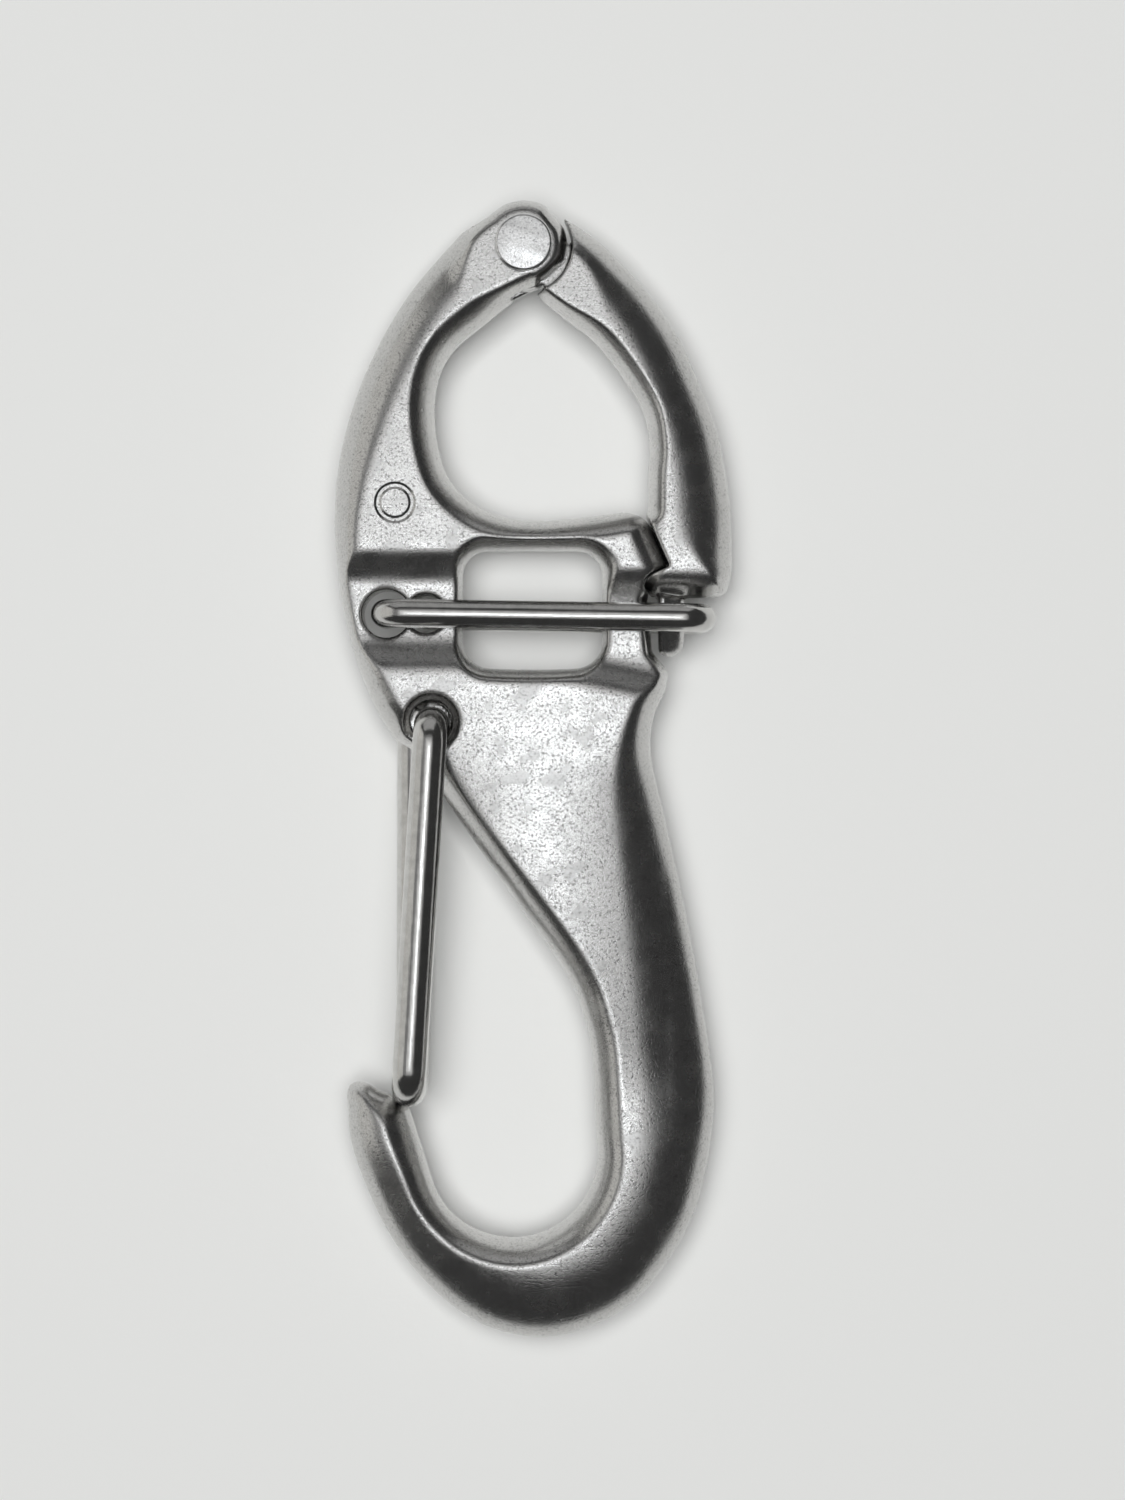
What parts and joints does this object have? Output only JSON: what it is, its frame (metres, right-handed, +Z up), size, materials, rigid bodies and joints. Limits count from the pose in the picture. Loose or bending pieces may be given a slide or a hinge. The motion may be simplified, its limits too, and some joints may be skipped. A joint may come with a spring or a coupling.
{
  "type": "snap shackle with wire gate hook",
  "caption": "Forged steel snap shackle: an arm on a rivet opens the bow and is held shut by a sprung wire bail, with a wire gate hook at the other end.",
  "frame": {"origin": "on the surface that the shackle lies on, below the middle of its outer box", "axes": "+Y from the hook towards the bow, +Z up out of the flat face, +X towards the opening arm"},
  "size_m": [0.0421, 0.1206, 0.0177],
  "materials": {
    "forged_steel": "tumbled satin stainless forging, brighter on its edges",
    "arm_steel": "tumbled satin stainless forging",
    "rivet_steel": "peened bright stainless, slightly dimpled",
    "bail_wire": "drawn polished stainless spring wire with fine lengthwise lines",
    "gate_wire": "drawn polished stainless spring wire with fine lengthwise lines"
  },
  "bodies": {
    "frame": {"body": "forged_steel", "pivot_rivet": "rivet_steel"},
    "opening_arm": {"opening_arm": "arm_steel"},
    "latch_bail": {"latch_bail": "bail_wire"},
    "hook_gate": {"hook_gate": "gate_wire"}
  },
  "joints": [
    {"name": "arm_swing", "type": "hinge", "parent": "frame", "child": "opening_arm", "pos_m": [-0.001, 0.05505, 0.00885], "axis": [0, 0, 1], "range_deg": [0, 105]},
    {"name": "bail_press", "type": "hinge", "parent": "frame", "child": "latch_bail", "pos_m": [-0.01345, 0.01625, 0.00885], "axis": [0, 0, 1], "range_deg": [-12, 0], "stiffness_Nm_per_rad": 0.3, "springref_deg": 8.59},
    {"name": "gate_swing", "type": "hinge", "parent": "frame", "child": "hook_gate", "pos_m": [-0.0118, 0.00465, 0.00885], "axis": [0, 0, 1], "range_deg": [0, 26], "stiffness_Nm_per_rad": 0.2, "springref_deg": -8.59}
  ]
}
